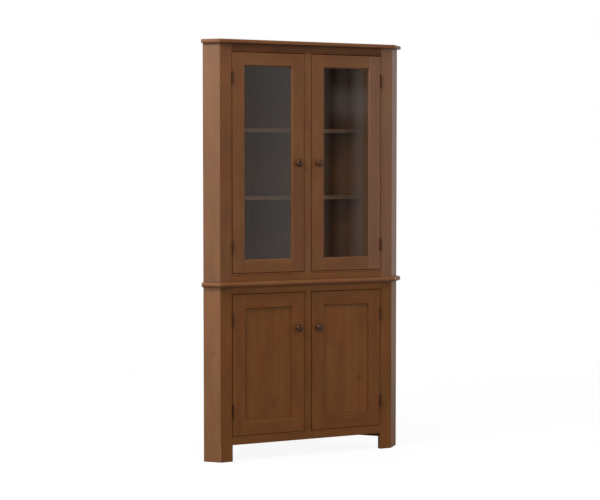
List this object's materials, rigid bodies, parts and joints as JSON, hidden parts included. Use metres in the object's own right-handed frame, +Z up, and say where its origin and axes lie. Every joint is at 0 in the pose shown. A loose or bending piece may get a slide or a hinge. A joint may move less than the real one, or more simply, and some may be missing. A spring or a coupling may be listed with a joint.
{
  "type": "corner cupboard",
  "caption": "Two-part wooden corner cupboard: glazed upper doors with shelves above panelled base doors, straight front with narrow returns, boarded wall sides and legs.",
  "frame": {"origin": "on the floor, under the middle of the cupboard's outer box", "axes": "+X along the front to the right as seen by someone facing it, +Y from the front towards the room's corner, +Z up; the front faces -Y"},
  "size_m": [1.0182, 0.5826, 1.9],
  "materials": {
    "frame_wood": "brown stained wood with a satin lacquer",
    "panel_wood": "brown stained wood panel with a satin lacquer",
    "inner_wood": "brown stained boards, matt lacquer",
    "glass": "clear float glass",
    "knob_bronze": "dark bronzed metal, satin",
    "hinge_metal": "dark bronzed steel, satin"
  },
  "bodies": {
    "cabinet": {"base_left_stile": "frame_wood", "base_right_stile": "frame_wood", "base_centre_stile": "frame_wood", "base_top_rail": "frame_wood", "base_bottom_rail": "frame_wood", "base_left_return": "frame_wood", "base_right_return": "frame_wood", "base_left_back": "inner_wood", "base_right_back": "inner_wood", "base_back_post": "inner_wood", "base_floor": "inner_wood", "base_shelf": "inner_wood", "waist_board": "frame_wood", "upper_left_stile": "frame_wood", "upper_right_stile": "frame_wood", "upper_centre_stile": "frame_wood", "upper_top_rail": "frame_wood", "upper_bottom_rail": "frame_wood", "upper_left_return": "frame_wood", "upper_right_return": "frame_wood", "upper_left_back": "inner_wood", "upper_right_back": "inner_wood", "upper_floor": "inner_wood", "upper_shelf_low": "inner_wood", "upper_shelf_high": "inner_wood", "top_board": "frame_wood", "base_left_door_hinge_low": "hinge_metal", "base_left_door_hinge_high": "hinge_metal", "base_right_door_hinge_low": "hinge_metal", "base_right_door_hinge_high": "hinge_metal", "upper_left_door_hinge_low": "hinge_metal", "upper_left_door_hinge_high": "hinge_metal", "upper_right_door_hinge_low": "hinge_metal", "upper_right_door_hinge_high": "hinge_metal"},
    "base_left_door": {"base_left_door_hinge_stile": "frame_wood", "base_left_door_lock_stile": "frame_wood", "base_left_door_bottom_rail": "frame_wood", "base_left_door_top_rail": "frame_wood", "base_left_door_knob": "knob_bronze", "base_left_door_panel": "panel_wood"},
    "base_right_door": {"base_right_door_hinge_stile": "frame_wood", "base_right_door_lock_stile": "frame_wood", "base_right_door_bottom_rail": "frame_wood", "base_right_door_top_rail": "frame_wood", "base_right_door_knob": "knob_bronze", "base_right_door_panel": "panel_wood"},
    "upper_left_door": {"upper_left_door_hinge_stile": "frame_wood", "upper_left_door_lock_stile": "frame_wood", "upper_left_door_bottom_rail": "frame_wood", "upper_left_door_top_rail": "frame_wood", "upper_left_door_knob": "knob_bronze", "upper_left_door_glass": "glass", "upper_left_door_glazing_bead": "frame_wood"},
    "upper_right_door": {"upper_right_door_hinge_stile": "frame_wood", "upper_right_door_lock_stile": "frame_wood", "upper_right_door_bottom_rail": "frame_wood", "upper_right_door_top_rail": "frame_wood", "upper_right_door_knob": "knob_bronze", "upper_right_door_glass": "glass", "upper_right_door_glazing_bead": "frame_wood"}
  },
  "joints": [
    {"name": "base_left_door_swing", "type": "hinge", "parent": "cabinet", "child": "base_left_door", "pos_m": [-0.37678, -0.26593, 0.1155], "axis": [0, 0, -1], "range_deg": [0, 150]},
    {"name": "base_right_door_swing", "type": "hinge", "parent": "cabinet", "child": "base_right_door", "pos_m": [0.37678, -0.26593, 0.1155], "axis": [0, 0, 1], "range_deg": [0, 150]},
    {"name": "upper_left_door_swing", "type": "hinge", "parent": "cabinet", "child": "upper_left_door", "pos_m": [-0.37678, -0.26593, 0.853], "axis": [0, 0, -1], "range_deg": [0, 150]},
    {"name": "upper_right_door_swing", "type": "hinge", "parent": "cabinet", "child": "upper_right_door", "pos_m": [0.37678, -0.26593, 0.853], "axis": [0, 0, 1], "range_deg": [0, 150]}
  ]
}
